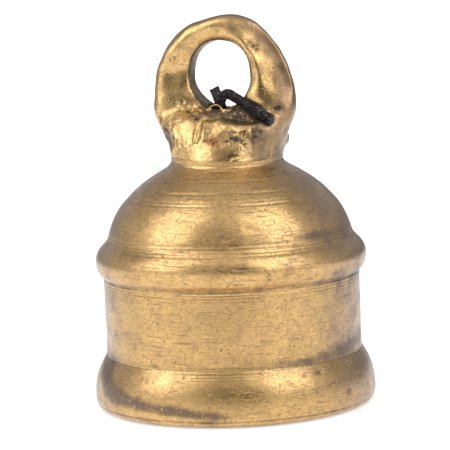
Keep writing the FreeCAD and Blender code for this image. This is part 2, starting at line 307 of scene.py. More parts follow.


# old brass with a worn golden skin, brown patina, a dull film that also carries painted light, dirt that also
# carries painted shade, scratches and pits
def agedBrass(name, look):
    material, tree, surface, where = newMaterial(name)
    place = inMillimetres(tree, where)
    broad = noiseNode(tree, place, 17.0, 3)
    patches = noiseNode(tree, place, 5.0, 6, 0.62)
    mottle = noiseNode(tree, place, 0.75, 5, 0.65)
    grain = noiseNode(tree, place, (2.0, 2.0, 0.3), 4, 0.7)
    raggedEdge = centred(tree, patches, 1.6)
    filmAndPaintedLight = mathNode(tree, "ADD", attributeNode(tree, "filmAndPaintedLight"), raggedEdge)
    filmAndPaintedLight = spread(tree, filmAndPaintedLight, 0.1, 0.95, 0, 0.9)
    marks = mathNode(tree, "MAXIMUM", scratchLayer(tree, place, look), pitLayer(tree, place, look))
    rust = mathNode(tree, "MULTIPLY", attributeNode(tree, "rust"), 0.95)
    grimeAndShade = grimeAndShadeLayer(tree, place, raggedEdge)

    colour = mixColour(tree, spread(tree, broad, 0.4, 0.62), look["gold"], look["olive"])
    # the film colour, also used as painted reflection on the body's sides and painted shade on the crown
    colour = mixColour(tree, filmAndPaintedLight, colour, look["filmAndPaintedLight"])
    browning = [(patches, 0.5, 0.74, look["patina"]), (mottle, 0.4, 0.68, look["mottle"]),
                (grain, 0.42, 0.7, look["grain"])]
    for noise, start, full, most in browning:
        colour = mixColour(tree, spread(tree, noise, start, full, 0.0, most), colour, look["brown"])
    colour = mixColour(tree, rust, colour, look["rust"])
    colour = mixColour(tree, marks, colour, look["scratch"])
    # dirt colour, also used for painted shade
    colour = mixColour(tree, mathNode(tree, "MULTIPLY", grimeAndShade, look["grimeAndShade"]), colour, look["dirtAndShade"])
    tree.links.new(colour, surface.inputs["Base Color"])

    rough = spread(tree, patches, 0.3, 0.7, look["smooth"], look["dull"])
    rough = mathNode(tree, "ADD", rough, centred(tree, mottle, 0.25))
    rough = mathNode(tree, "ADD", rough, mathNode(tree, "MULTIPLY", filmAndPaintedLight, 0.08))
    rough = mathNode(tree, "ADD", rough, mathNode(tree, "MULTIPLY", grimeAndShade, 0.22), True)
    tree.links.new(rough, surface.inputs["Roughness"])
    metal = mathNode(tree, "SUBTRACT", 1.0, mathNode(tree, "MULTIPLY", grimeAndShade, 0.4))
    tree.links.new(metal, surface.inputs["Metallic"])

    height = mathNode(tree, "MULTIPLY", grain, look["turning"])
    height = mathNode(tree, "ADD", height, mathNode(tree, "MULTIPLY", mottle, look["grainHeight"]))
    bumpFrom(tree, surface, mathNode(tree, "SUBTRACT", height, marks), 0.12, look["bump"])
    surface.inputs["Coat Weight"].default_value = look["wax"]
    surface.inputs["Coat Roughness"].default_value = 0.28
    return material


# colours, then how much of each mark there is, from 0 to 1, then the finish
turnedBrass = agedBrass("turnedBrass", {
    "gold": tint(0.71, 0.445, 0.17), "olive": tint(0.635, 0.405, 0.15), "filmAndPaintedLight": tint(0.41, 0.29, 0.21),
    "brown": tint(0.26, 0.15, 0.065), "rust": tint(0.18, 0.065, 0.015), "dirtAndShade": tint(0.1, 0.06, 0.042),
    "scratch": tint(0.13, 0.07, 0.03),
    "patina": 0.35, "mottle": 0.28, "grain": 0.4, "scratches": 0.75,
    "pitScale": 0.4, "pits": 0.9, "grimeAndShade": 0.85,
    "smooth": 0.25, "dull": 0.4, "turning": 0.6, "grainHeight": 0.4, "bump": 0.6, "wax": 0.6})
# on the crown the film is painted shade, hence its dark colour
roughBrass = agedBrass("roughBrass", {
    "gold": tint(0.76, 0.5, 0.21), "olive": tint(0.62, 0.4, 0.16), "filmAndPaintedLight": tint(0.31, 0.2, 0.12),
    "brown": tint(0.25, 0.145, 0.06), "rust": tint(0.2, 0.07, 0.015), "dirtAndShade": tint(0.022, 0.016, 0.012),
    "scratch": tint(0.035, 0.022, 0.014),
    "patina": 0.55, "mottle": 0.45, "grain": 0.0, "scratches": 0.2,
    "pitScale": 0.55, "pits": 0.9, "grimeAndShade": 0.92,
    "smooth": 0.22, "dull": 0.36, "turning": 0.0, "grainHeight": 0.7, "bump": 0.5, "wax": 0.35})
bobBrass = agedBrass("bobBrass", {
    "gold": tint(0.27, 0.17, 0.07), "olive": tint(0.22, 0.15, 0.06), "filmAndPaintedLight": tint(0.2, 0.15, 0.1),
    "brown": tint(0.1, 0.065, 0.035), "rust": tint(0.24, 0.09, 0.02), "dirtAndShade": tint(0.03, 0.022, 0.018),
    "scratch": tint(0.04, 0.03, 0.02),
    "patina": 0.7, "mottle": 0.5, "grain": 0.2, "scratches": 0.3,
    "pitScale": 0.5, "pits": 0.9, "grimeAndShade": 0.9,
    "smooth": 0.34, "dull": 0.55, "turning": 0.2, "grainHeight": 0.8, "bump": 0.7, "wax": 0.3})


# black scale with paler flecks where it is rubbed
def forgedIron(look):
    material, tree, surface, where = newMaterial("forgedIron")
    place = inMillimetres(tree, where)
    scale = noiseNode(tree, place, look["scaleSize"], 6, 0.65)
    flecks = noiseNode(tree, place, look["fleckSize"], 4)
    colour = mixColour(tree, spread(tree, scale, 0.38, 0.68), look["black"], look["grey"])
    colour = mixColour(tree, spread(tree, flecks, 0.54, 0.64, 0, 0.7), colour, look["rubbed"])
    tree.links.new(colour, surface.inputs["Base Color"])
    surface.inputs["Metallic"].default_value = 0.8
    tree.links.new(spread(tree, scale, 0.3, 0.7, look["smooth"], look["dull"]), surface.inputs["Roughness"])
    height = mathNode(tree, "ADD", scale, mathNode(tree, "MULTIPLY", flecks, 0.5))
    bumpFrom(tree, surface, height, 0.1, look["bump"])
    return material


blackIron = forgedIron({
    "black": tint(0.012, 0.011, 0.013), "grey": tint(0.05, 0.043, 0.05), "rubbed": tint(0.2, 0.18, 0.21),
    "scaleSize": 1.1, "fleckSize": (1.2, 0.4, 0.4), "smooth": 0.28, "dull": 0.55, "bump": 0.7})
print("materials made")


# bell body: half section in mm, out from the axis and up, spun round the axis
bellShape = {
    "outside": [(33.5, 0.0), (36.6, 0.45), (37.75, 1.3), (38.25, 2.7), (38.3, 4.4), (37.95, 8.0),
                (37.3, 10.3), (36.35, 12.4), (35.4, 14.1), (34.95, 15.1), (34.85, 17.5), (34.9, 26.0),
                (34.85, 34.0), (34.95, 35.3), (35.3, 36.3), (36.1, 37.4), (36.7, 39.3), (36.83, 40.8),
                (36.45, 42.3), (35.5, 43.9), (34.2, 45.3), (33.45, 46.4), (33.05, 47.6), (32.0, 50.5),
                (30.5, 53.5), (28.4, 56.3), (25.2, 59.5), (20.6, 62.8), (17.6, 64.6), (15.9, 65.7),
                (15.25, 66.6), (15.2, 67.4)],
    "top": [(15.2, 68.2), (9.1, 68.2), (9.1, 71.2), (3.0, 71.2), (3.0, 60.7)],
    "inside": [(3.6, 60.5), (12.0, 59.9), (20.5, 57.0), (26.0, 52.8), (29.2, 47.5), (30.5, 40.0),
               (31.2, 20.0), (31.6, 2.0), (31.8, 0.0)],
    "curveSteps": 6, "turns": 216,
    # edges longer than this near a turned line are halved, this many times over
    "longEdge": 0.16, "halvings": 2,
    # turned lines are cut beyond this distance from the axis
    "turnedFrom": 15.0,
    # level, depth and half width of each turned line
    "lines": [(1.9, 0.12, 0.3), (12.4, 0.03, 0.2), (13.1, 0.05, 0.22), (13.9, 0.05, 0.22), (14.8, 0.09, 0.28),
              (33.4, 0.06, 0.2), (34.1, 0.1, 0.2), (34.8, 0.1, 0.2), (35.9, 0.28, 0.45), (44.8, 0.05, 0.22),
              (45.6, 0.08, 0.22), (46.4, 0.1, 0.25), (47.4, 0.09, 0.25), (57.3, 0.13, 0.28),
              (58.1, 0.06, 0.2), (60.1, 0.14, 0.28), (62.9, 0.06, 0.25), (65.2, 0.06, 0.25),
              (66.9, 0.08, 0.3)],
}


def drawSection(shape):
    points = shape["outside"] + shape["top"] + shape["inside"]
    sharp = {shape["outside"][0], shape["inside"][-1]} | set(shape["top"])
    startAlone()
    bpy.ops.curve.primitive_bezier_curve_add()
    section = bpy.context.object
    spline = section.data.splines[0]
    spline.bezier_points.add(len(points) - 2)
    for knot, (out, up) in zip(spline.bezier_points, points):
        knot.co = (out * mm, 0, up * mm)
        kind = "VECTOR" if (out, up) in sharp else "AUTO"
        knot.handle_left_type = knot.handle_right_type = kind
    spline.use_cyclic_u = True
    section.data.resolution_u = shape["curveSteps"]
    bpy.ops.object.convert(target="MESH")
    return section


# the skin that was turned, outside and in: all but the flat top and the middle of the dome's inside
def isTurned(out, up, least):
    return (out + 0.2 * up > 26.5) & (out > least)


def makeBell(shape):
    bell = drawSection(shape)
    bell.name = "bellSkin"
    for _ in range(shape["halvings"]):
        bpy.ops.object.mode_set(mode="EDIT")
        bpy.ops.mesh.select_all(action="DESELECT")
        bpy.ops.object.mode_set(mode="OBJECT")
        for edge in bell.data.edges:
            ends = [bell.data.vertices[i].co / mm for i in edge.vertices]
            long = (ends[0] - ends[1]).length > shape["longEdge"]
            near = any(min(abs(e.z - line[0]) for e in ends) < 3 * line[2] for line in shape["lines"])
            turned = all(isTurned(e.x, e.z, shape["turnedFrom"]) for e in ends)
            edge.select = long and near and turned
        bpy.ops.object.mode_set(mode="EDIT")
        bpy.ops.mesh.subdivide(number_cuts=1)
        bpy.ops.object.mode_set(mode="OBJECT")
    places = readPlaces(bell)
    turned = isTurned(places[:, 0], places[:, 2], shape["turnedFrom"])
    # the lines are cut more and more from above as the dome flattens
    slope = np.clip((places[:, 2] - 46) / 20, 0, 0.9)
    for level, depth, width in shape["lines"]:
        cut = depth * np.exp(-((places[:, 2] - level) / width) ** 2) * turned
        places[:, 0] -= cut * (1 - slope)
        places[:, 2] -= cut * slope
    writePlaces(bell, places)
    pickUp(bell)
    bpy.ops.object.mode_set(mode="EDIT")
    bpy.ops.mesh.select_all(action="SELECT")
    bpy.ops.mesh.spin(steps=shape["turns"], angle=2 * math.pi, center=(0, 0, 0), axis=(0, 0, 1))
    bpy.ops.mesh.select_all(action="SELECT")
    bpy.ops.mesh.remove_doubles(threshold=0.001 * mm)
    bpy.ops.mesh.normals_make_consistent(inside=False)
    bpy.ops.object.mode_set(mode="OBJECT")
    return bell


bell = makeBell(bellShape)
print("bell body spun,", len(bell.data.polygons), "faces")

# the seam between the body and the crown isn't flat: a few waves round it, in mm, turns and radians
seamWave = {"heights": (0.55, 0.3, 0.2), "turns": (1, 2, 5), "starts": (-0.9, 1.0, 2.0)}


def seamLift(places):
    angle = np.arctan2(places[:, 1], places[:, 0])
    parts = zip(seamWave["heights"], seamWave["turns"], seamWave["starts"])
    return sum(height * np.sin(turns * angle + start) for height, turns, start in parts)


# angles are from the front (-Y) towards +X, in degrees, and all else in mm
bellMarks = {
    # each mark is angle, level, half width in degrees, half height, and strength or depth
    # the broad stains on the right side, from 50 to 98 degrees, are also painted shade darkening that side
    "stainsAndSideShade": [(-56, 13.5, 10, 3.6, 1.0), (-49, 9.0, 8, 3.4, 0.9), (-40, 7.6, 8, 2.4, 0.8),
               (-30, 5.8, 9, 1.9, 0.85), (-18, 5.2, 9, 1.5, 0.9), (-7, 4.7, 8, 1.4, 0.95),
               (4, 3.9, 9, 1.2, 0.8), (16, 3.2, 10, 0.9, 0.5), (-64, 17.0, 9, 3.0, 0.55),
               (50, 15.9, 16, 1.3, 0.8), (72, 16.8, 15, 2.0, 0.85),
               (95, 18.0, 16, 2.4, 0.6), (80, 37.2, 20, 3.2, 0.45), (62, 48.3, 12, 1.6, 0.75),
               (84, 47.5, 14, 2.8, 0.7), (88, 52.0, 16, 3.0, 0.35), (14, 50.0, 1.8, 0.8, 0.8),
               (55, 12.6, 2.4, 0.8, 0.95), (47, 12.2, 2.0, 0.6, 0.6), (70, 6.2, 1.6, 0.9, 0.95),
               (80, 9.4, 1.3, 0.8, 0.8), (86, 6.0, 1.2, 1.0, 0.7), (66, 10.2, 1.2, 0.5, 0.6),
               (21, 41.9, 2.2, 0.35, 1.2), (27, 42.0, 5.0, 0.25, 0.9), (11, 41.8, 3.0, 0.3, 0.5),
               (-22, 12.0, 1.2, 0.9, 0.6), (-19, 15.7, 2.0, 0.5, 0.7), (140, 11.0, 16, 3.0, 0.8),
               (165, 6.5, 14, 1.8, 0.8), (205, 14.8, 24, 1.5, 0.8), (240, 7.0, 12, 2.6, 0.7),
               (150, 45.5, 20, 1.8, 0.6), (220, 38.0, 20, 2.4, 0.5), (190, 24.0, 14, 3.5, 0.35),
               (265, 20.0, 12, 4.0, 0.4), (98, 26.0, 22, 9.0, 0.4)],
    "nicks": [(-34, 50.0, 0.5, 1.6, -0.2), (-26.5, 22.8, 0.45, 1.3, -0.14), (-25.3, 21.2, 0.45, 1.3, -0.14),
              (-16, 30.0, 0.4, 1.6, -0.1), (-14.5, 27.0, 0.5, 1.4, -0.12), (-13.4, 25.2, 0.7, 0.5, -0.16),
              (21, 41.9, 1.5, 0.3, -0.35), (26, 51.7, 0.9, 0.5, -0.25), (30, 51.2, 0.9, 0.5, -0.25),
              (35, 51.8, 0.8, 0.4, -0.25), (38.5, 50.9, 0.8, 0.4, -0.2), (44, 50.5, 0.7, 0.5, -0.15),
              (55, 12.6, 1.4, 0.7, -0.22), (70, 6.2, 1.0, 0.8, -0.22), (80, 9.4, 0.8, 0.7, -0.2),
              (-9, 18.9, 0.5, 1.0, -0.14), (-7, 15.7, 1.0, 0.4, -0.14), (12, 27.0, 0.9, 0.35, -0.12),
              (60, 34.0, 1.6, 0.3, -0.12), (34, 36.8, 1.4, 0.3, -0.14), (46, 37.0, 1.6, 0.3, -0.12),
              (190, 30.0, 0.8, 1.8, -0.15), (120, 52.0, 1.0, 0.6, -0.2), (230, 21.0, 0.7, 1.6, -0.15)],
    # dirt in each turned groove, and at level 0 painted shadow along the rim's bottom edge: level, half
    # height, strength
    "grooveDirtAndRimShadow": [(35.9, 0.7, 0.5), (33.2, 1.6, 0.14), (14.9, 0.35, 0.3), (13.9, 0.25, 0.22), (46.3, 0.6, 0.3),
                (48.0, 0.9, 0.2), (57.3, 0.3, 0.3), (60.1, 0.3, 0.2), (66.6, 0.6, 0.25), (0.0, 0.5, 1.6),
                (1.9, 0.35, 0.7)],
    # angle, half width and strength of the dull pinkish film that handling never reaches; the two strongest,
    # on the sides seen edge-on from the camera, are also painted reflection
    "filmAndPaintedLight": [(-66, 26, 0.75), (92, 34, 0.85), (150, 30, 0.3), (200, 30, 0.7), (250, 25, 0.4)],
    # marks and film begin this far from the axis; what is nearer has this much dirt all over
    "markedFrom": 14.5, "innerGrime": 0.55,
    # lumps in the skin: size, height, finer layers
    "uneven": [(14, 0.12, 1), (3.0, 0.035, 2)],
    # the staple's slot is the round hole made longer along X, less from the first radius to the second
    "slotReach": (3.5, 9.0), "slotStretch": 0.32, "slotShift": -0.75,
}


def angleOf(places):
    return np.degrees(np.arctan2(places[:, 0], -places[:, 1]))


# degrees from one angle to another, the short way round
def turnFrom(angle, where):
    return (angle - where + 180) % 360 - 180


def markField(places, marks, region):
    total = np.zeros(len(places))
    for angle, level, wide, high, strength in marks:
        turn = turnFrom(angleOf(places), angle)
        total += strength * np.exp(-(turn / wide) ** 2 - ((places[:, 2] - level) / high) ** 2) * region
    return total


def shapeSlotAndSeam(bell, marks):
    places = readPlaces(bell)
    radius = np.hypot(places[:, 0], places[:, 1])
    full, gone = marks["slotReach"]
    middle = np.clip((gone - radius) / (gone - full), 0, 1)
    places[:, 0] = places[:, 0] * (1 + marks["slotStretch"] * middle) + marks["slotShift"] * middle
    top = np.clip((places[:, 2] - 65.2) / 3.0, 0, 1) * (radius < 18)
    places[:, 2] += seamLift(places) * top
    writePlaces(bell, places)


def ageBell(bell, marks):
    places = readPlaces(bell)
    turned = isTurned(np.hypot(places[:, 0], places[:, 1]), places[:, 2], marks["markedFrom"])
    shapeSlotAndSeam(bell, marks)
    # the rim stays flat, and the seam keeps to the crown's
    level = readPlaces(bell)[:, 2]
    weight = np.where(turned, np.clip(level / 2.5, 0, 1) * np.clip((66 - level) / 3, 0, 1), 0.6)
    groupFrom(bell, "skin", np.where((level < 2) & ~turned, 0, weight))
    for size, height, layers in marks["uneven"]:
        unevenSkin(bell, size, height, layers, "skin")
    places = readPlaces(bell)
    pressIn(bell, markField(places, marks["nicks"], turned))
    # stains, some of them painted shade on the right side
    grimeAndShade = markField(places, marks["stainsAndSideShade"], turned)
    # dirt in the grooves, and painted shadow along the rim's bottom edge
    for level, high, strength in marks["grooveDirtAndRimShadow"]:
        grimeAndShade += strength * np.exp(-((places[:, 2] - level) / high) ** 2) * turned
    paintAmount(bell, "grimeAndShade", grimeAndShade + np.where(turned, 0, marks["innerGrime"]))
    # the film, with painted reflection on the sides seen edge-on
    filmAndPaintedLight = sum(strength * np.exp(-(turnFrom(angleOf(places), where) / wide) ** 2)
               for where, wide, strength in marks["filmAndPaintedLight"])
    paintAmount(bell, "filmAndPaintedLight", filmAndPaintedLight * turned)


ageBell(bell, bellMarks)
finishPiece(bell, "bell_body", "bell", turnedBrass)
print("bell body aged")


# crown: the thick loop and its neck, cast rough and worn smooth where the cord runs; all in mm
crownMarks = {
    "grain": 0.27, "softening": 6, "lipSoftening": 3,
    # x, y, z, reach, depth
    "dents": [(-15.4, -5.9, 73.6, 2.2, -0.8), (-14.2, -7.6, 72.2, 1.9, -0.7), (-13.4, -8.4, 74.2, 1.5, -0.7),
              (-15.2, -6.6, 75.3, 1.3, -0.6), (-12.8, -9.0, 71.6, 1.5, -0.5), (15.9, 5.0, 75.2, 2.4, -0.9),
              (16.6, -2.0, 75.0, 2.0, -0.5), (3.0, -7.6, 79.4, 1.8, -1.2), (6.0, -7.6, 79.2, 2.0, -1.8),
              (9.0, -7.2, 79.0, 2.0, -1.8), (12.0, -6.4, 78.8, 1.7, -1.1), (-1.0, -8.6, 79.0, 1.4, -0.5),
              (9.4, -4.4, 97.4, 1.6, -0.35), (-13.0, -4.4, 90.0, 3.4, -0.3), (4.0, -11.5, 73.6, 1.8, -0.3)],
    "bulges": [(-16.8, -4.8, 79.6, 3.0, 0.5), (15.6, 5.0, 71.6, 1.7, 0.8), (15.2, -4.0, 71.0, 2.0, 0.4),
               (-8.0, -9.6, 76.5, 3.0, 0.5), (-6.4, -11.6, 72.4, 2.0, 0.35), (9.0, -11.2, 75.9, 1.8, 0.5),
               (12.6, -9.2, 76.2, 1.6, 0.5), (6.0, -12.0, 70.6, 2.4, 0.4), (-2.2, -11.2, 75.2, 0.9, 0.35),
               (1.5, -12.8, 70.2, 2.0, 0.3)],
    "pits": [(16.4, -4.4, 81.0, 0.5, -0.5), (17.6, -4.2, 80.8, 0.35, -0.4), (15.4, -4.4, 80.8, 0.35, -0.35),
             (5.0, -11.4, 74.3, 0.5, -0.45), (6.5, -11.4, 73.3, 0.6, -0.5), (4.0, -11.8, 72.6, 0.5, -0.45),
             (7.6, -11.2, 72.4, 0.6, -0.5), (5.6, -11.8, 71.5, 0.5, -0.4), (8.3, -10.9, 74.4, 0.5, -0.45),
             (10.6, -10.0, 75.6, 0.5, -0.5), (11.0, -10.2, 73.8, 0.5, -0.5), (10.4, -10.8, 72.4, 0.6, -0.5),
             (12.6, -9.3, 75.0, 0.5, -0.4), (9.4, -11.2, 72.8, 0.5, -0.4), (3.2, -12.2, 74.0, 0.4, -0.4),
             (-8.8, -11.2, 71.6, 0.5, -0.35), (-6.2, -12.2, 70.8, 0.4, -0.35), (-11.0, -5.6, 81.0, 0.5, -0.5),
             (-9.4, -5.2, 82.0, 0.6, -0.5), (-8.0, -5.8, 80.6, 0.5, -0.5), (-12.2, -5.0, 82.4, 0.5, -0.45),
             (-10.4, -4.6, 83.0, 0.5, -0.4), (-6.4, -7.2, 79.6, 0.6, -0.6), (-5.4, -8.2, 78.6, 0.5, -0.5),
             (-7.6, -7.2, 79.0, 0.4, -0.4), (-9.0, -4.6, 84.6, 0.4, -0.3), (9.6, -3.6, 98.0, 0.5, -0.4),
             (10.4, -3.8, 96.6, 0.6, -0.4), (8.6, -3.6, 98.6, 0.4, -0.35), (-15.0, -4.0, 96.0, 0.4, -0.3),
             (-12.4, -4.2, 94.6, 0.5, -0.3), (6.0, 10.5, 75.0, 0.8, -0.5), (-4.0, 11.2, 74.0, 0.8, -0.5),
             (1.0, 12.0, 72.0, 0.7, -0.4), (-10.0, 8.6, 77.0, 1.0, -0.5), (12.0, 8.6, 76.0, 0.8, -0.5)],
    # points, reach, depth
    "creases": [([(-3.6, -8.2, 78.6), (-4.1, -9.6, 77.0), (-4.5, -11.0, 75.0), (-4.7, -12.2, 72.8)],
                 0.7, -0.5),
                ([(-2.6, -9.4, 77.4), (-2.8, -10.8, 75.4), (-2.6, -12.0, 73.4)], 0.8, 0.35),
                ([(-16.5, -5.4, 77.2), (-13.9, -7.8, 76.3), (-11.8, -9.3, 75.1), (-10.6, -10.3, 73.4),
                  (-10.9, -10.5, 71.3), (-12.6, -8.6, 69.4)], 0.55, 0.5),
                ([(-16.5, -5.6, 76.2), (-14.2, -7.8, 75.4), (-12.3, -9.2, 74.2), (-11.5, -9.9, 72.6)],
                 0.4, -0.45),
                ([(3.4, -10.4, 77.3), (7.4, -10.3, 77.2), (11.4, -9.0, 77.3), (13.0, -7.6, 77.8)], 0.6, 0.4),
                ([(-9.6, -4.3, 86.0), (-8.2, -4.5, 84.2), (-6.8, -4.6, 82.2), (-5.0, -5.6, 80.8)], 0.4, 0.35),
                ([(5.8, -14.0, 67.9), (10.0, -11.6, 68.5), (14.0, -6.0, 68.9)], 0.35, -0.35),
                ([(-9.0, 8.6, 78.0), (-6.0, 11.0, 74.0), (-7.0, 12.2, 70.6)], 0.6, -0.5),
                ([(5.0, 9.0, 79.0), (8.0, 10.6, 75.0), (7.0, 12.2, 71.0)], 0.6, -0.4)],
    # wavy lip of brass left standing along the front of the staple's slot: x, y, z, radius
    "lip": [(-4.4, -5.4, 79.9, 0.5), (-3.2, -5.0, 81.0, 0.42), (-1.8, -4.7, 81.9, 0.36),
            (-0.5, -4.7, 81.9, 0.36), (0.6, -4.9, 81.1, 0.38), (1.9, -5.8, 80.7, 0.48),
            (3.0, -6.0, 81.0, 0.5), (3.8, -5.9, 81.7, 0.46), (4.1, -5.8, 82.4, 0.36)],
    # level band where the loop's faces run smoothly into the neck
    "blend": (73.0, 76.5, 85.0, 91.0), "blendPasses": 150,
    # x, y, z, reach, strength of the dark grime; under the staple, in the slot and in the recess at the lower
    # left it is dirt and painted shade
    "grimeAndShade": [(2.5, -6.6, 80.0, 1.8, 0.8), (5.0, -6.4, 80.2, 2.0, 1.0), (8.0, -6.2, 80.0, 2.0, 1.0),
              (11.0, -5.8, 79.6, 1.8, 0.8), (3.0, -7.6, 79.2, 2.0, 0.9), (6.0, -8.0, 78.9, 2.2, 1.0),
              (9.0, -7.6, 78.7, 2.2, 1.0), (12.0, -6.6, 78.4, 2.0, 0.9), (7.4, -7.2, 79.4, 2.4, 1.2),
              (10.2, -6.8, 79.2, 2.2, 1.2), (-1.0, -7.4, 79.6, 1.6, 0.8), (-3.6, -6.8, 79.8, 1.2, 0.8),
              (-5.2, -8.0, 78.8, 1.1, 0.8), (-9.4, -5.0, 82.2, 1.4, 0.3), (-11.6, -5.2, 81.8, 1.4, 0.25),
              (-7.6, -6.4, 80.4, 1.1, 0.3), (5.4, -11.5, 73.4, 1.6, 0.5), (7.4, -11.2, 72.6, 1.2, 0.5),
              (10.8, -10.2, 74.0, 1.1, 0.35), (10.6, -10.2, 75.6, 0.9, 0.5), (3.6, -12.0, 71.6, 1.2, 0.35),
              (-15.6, -6.0, 76.2, 1.2, 1.0), (-14.6, -7.0, 74.6, 1.8, 0.8), (-12.2, -9.2, 73.6, 1.3, 0.8),
              (-14.2, -6.8, 71.6, 2.2, 0.7), (-15.6, -4.0, 73.4, 2.0, 0.6), (16.4, -4.4, 81.0, 0.7, 1.2),
              (17.6, -4.2, 80.8, 0.5, 0.8), (15.4, -4.4, 80.8, 0.5, 0.8), (0.0, 0.0, 80.0, 5.0, 0.9),
              (9.8, -3.6, 97.4, 1.6, 0.6), (8.0, -3.6, 98.6, 1.2, 0.45), (-12.6, -4.2, 94.6, 1.4, 0.35),
              (0.0, 9.0, 79.0, 4.0, 0.7), (-8.0, 9.0, 76.0, 3.0, 0.6), (8.0, 10.0, 73.0, 3.0, 0.6),
              (16.0, 5.0, 75.0, 2.0, 0.4)],
    # x, y, z, reach, strength of the orange brown left by the damp iron
    "rust": [(-0.6, -12.6, 72.8, 1.3, 1.0), (0.8, -12.4, 72.0, 1.8, 0.6), (1.6, -12.2, 74.6, 2.0, 0.45),
             (2.6, -12.8, 70.6, 2.2, 0.5), (0.0, 12.0, 73.0, 2.5, 0.6)],
    # x, y, z, reach, strength of small casting holes crowded together
    "pitted": [(5.5, -11.5, 73.4, 2.4, 1.0), (10.2, -10.4, 74.0, 2.2, 1.0), (7.5, -11.8, 71.4, 1.8, 0.8),
               (-8.5, -6.0, 81.0, 2.4, 0.55), (-5.6, -8.0, 79.0, 2.0, 0.8), (-12.0, -5.0, 82.6, 2.0, 0.4),
               (9.6, -3.6, 97.6, 1.9, 1.0), (-13.0, -4.2, 94.6, 2.0, 0.7), (-14.5, -7.0, 74.0, 2.6, 0.9),
               (-7.0, -11.8, 71.4, 2.4, 0.6), (6.0, -8.0, 79.0, 3.0, 0.8), (0.0, -12.6, 72.8, 1.8, 0.7),
               (-9.0, -4.4, 85.4, 1.6, 0.7), (4.0, 11.0, 75.0, 3.0, 0.8), (-9.0, 8.6, 76.0, 3.0, 0.8)],
    # centre and half axes of the hole, whose wall is darkened
    "hole": (-0.4, 89.95, 8.7, 9.15),
    # how full the loop's faces are, and how far the cord has worn its upper right edge back
    "belly": 0.16, "wearDepth": 0.3, "wearReach": 0.32, "wearMiddle": 30.0, "wearSpread": 60.0,
    # front of the right leg falls away outwards from a ridge near the hole, the left one towards the hole
    "ridgeAt": 0.26, "rightSlope": 0.8, "leftSlope": 0.4,
    # both legs' feet stand out: height below which they swell, over how much, and by how much
    "swell": (97.0, 17.0, 0.4), "leftSwell": (92.0, 14.0, 0.42),
    # levels over which the loop's wear, and the film and painted shade on it, come in from below
    "loopRise": (78, 87), "filmAndShadeRise": (75, 81),
    # how far the foot sinks into the body
    "sink": 0.35,
    # painted shade on the hole's wall, dirt round the seam, dirt and painted shade on the right of the neck,
    # dirt in each pit; what the lip is free of
    "holeShade": 0.8, "seamGrime": 0.3, "neckShadeAndGrime": 0.3, "pitGrime": 1.5, "lipWear": 1.5,
    # film along the outer edge of the loop, painted shade there
    "edgeFilmAndShade": 0.8,
    # lumps in the skin: size, height, finer layers, and the vertex group that they keep to
    "uneven": [(7, 0.35, 1, ""), (2.6, 0.1, 2, "rough"), (0.9, 0.05, 2, "rough")],
    # turns of the outline are read in this many steps
    "outlineSteps": 120,
}

# how far across the loop each point is, 0 at the hole and 1 at the outline; its angle round the hole in
# degrees; and its distance from the hole's middle in hole radii
def acrossLoop(places, marks):
    x, z, wide, high = marks["hole"]
    turn = np.arctan2(places[:, 2] - z, places[:, 0] - x)
    reach = np.hypot(places[:, 0] - x, places[:, 2] - z)
    hole = wide * high / np.hypot(high * np.cos(turn), wide * np.sin(turn))
    steps = marks["outlineSteps"]
    bins = np.floor((turn + np.pi) / (2 * np.pi) * steps).astype(int) % steps
    outline = np.zeros(steps)
    np.maximum.at(outline, bins, reach)
    outline = (outline + np.roll(outline, 1) + np.roll(outline, -1)) / 3
    return np.clip((reach - hole) / (outline[bins] - hole), 0, 1), np.degrees(turn), reach / hole


# 1 on the right leg of the loop, 0 on the left
def onRightLeg(turn):
    return np.exp(-((turn - 5) / 68) ** 4)


def wearLoop(crown, marks):
    places = readPlaces(crown)
    across, turn, _ = acrossLoop(places, marks)
    loop = smoothRise(places[:, 2], *marks["loopRise"])
    places[:, 1] *= 1 - marks["belly"] * (2 * across - 1) ** 2 * loop
    side = np.clip(1 - across / marks["wearReach"], 0, 1) ** 1.2
    arc = np.exp(-((turn - marks["wearMiddle"]) / marks["wearSpread"]) ** 4)
    front = np.clip(-places[:, 1] / 1.5, 0, 1)
    places[:, 1] *= 1 - marks["wearDepth"] * side * arc * loop * front
    outward = np.clip((across - marks["ridgeAt"]) / (1 - marks["ridgeAt"]), 0, 1)
    rightLeg = onRightLeg(turn)
    places[:, 1] *= 1 - marks["rightSlope"] * (1 - (1 - outward) ** 1.6) * rightLeg * loop * front
    places[:, 1] *= 1 - marks["leftSlope"] * (1 - across) ** 1.2 * (1 - rightLeg) * loop * front
    for (high, drop, amount), leg in ((marks["swell"], rightLeg), (marks["leftSwell"], 1 - rightLeg)):
        places[:, 1] *= 1 + amount * (1 - smoothRise(places[:, 2], high - drop, high)) * leg * loop * front
    writePlaces(crown, places)


def softenCrown(crown, marks):
    applyModifier(crown, "SMOOTH", factor=0.5, iterations=marks["softening"])
    wearLoop(crown, marks)
    low, lowFull, highFull, high = marks["blend"]
    places = readPlaces(crown)
    rising = np.clip((places[:, 2] - low) / (lowFull - low), 0, 1)
    falling = np.clip((high - places[:, 2]) / (high - highFull), 0, 1)
    # the walls of the slot, near the middle, stay as they are
    clear = np.clip((np.abs(places[:, 1]) - 3.4) / 0.6, 0, 1)
    groupFrom(crown, "blend", rising * falling * clear)
    applyModifier(crown, "SMOOTH", factor=0.5, iterations=marks["blendPasses"], vertex_group="blend")


def joinLip(crown, marks):
    lip = beadAlong(marks["lip"])
    pickUp(crown)
    lip.select_set(True)
    bpy.ops.object.join()
    applyModifier(crown, "REMESH", mode="VOXEL", voxel_size=marks["grain"] * mm)
    applyModifier(crown, "SMOOTH", factor=0.5, iterations=marks["lipSoftening"])


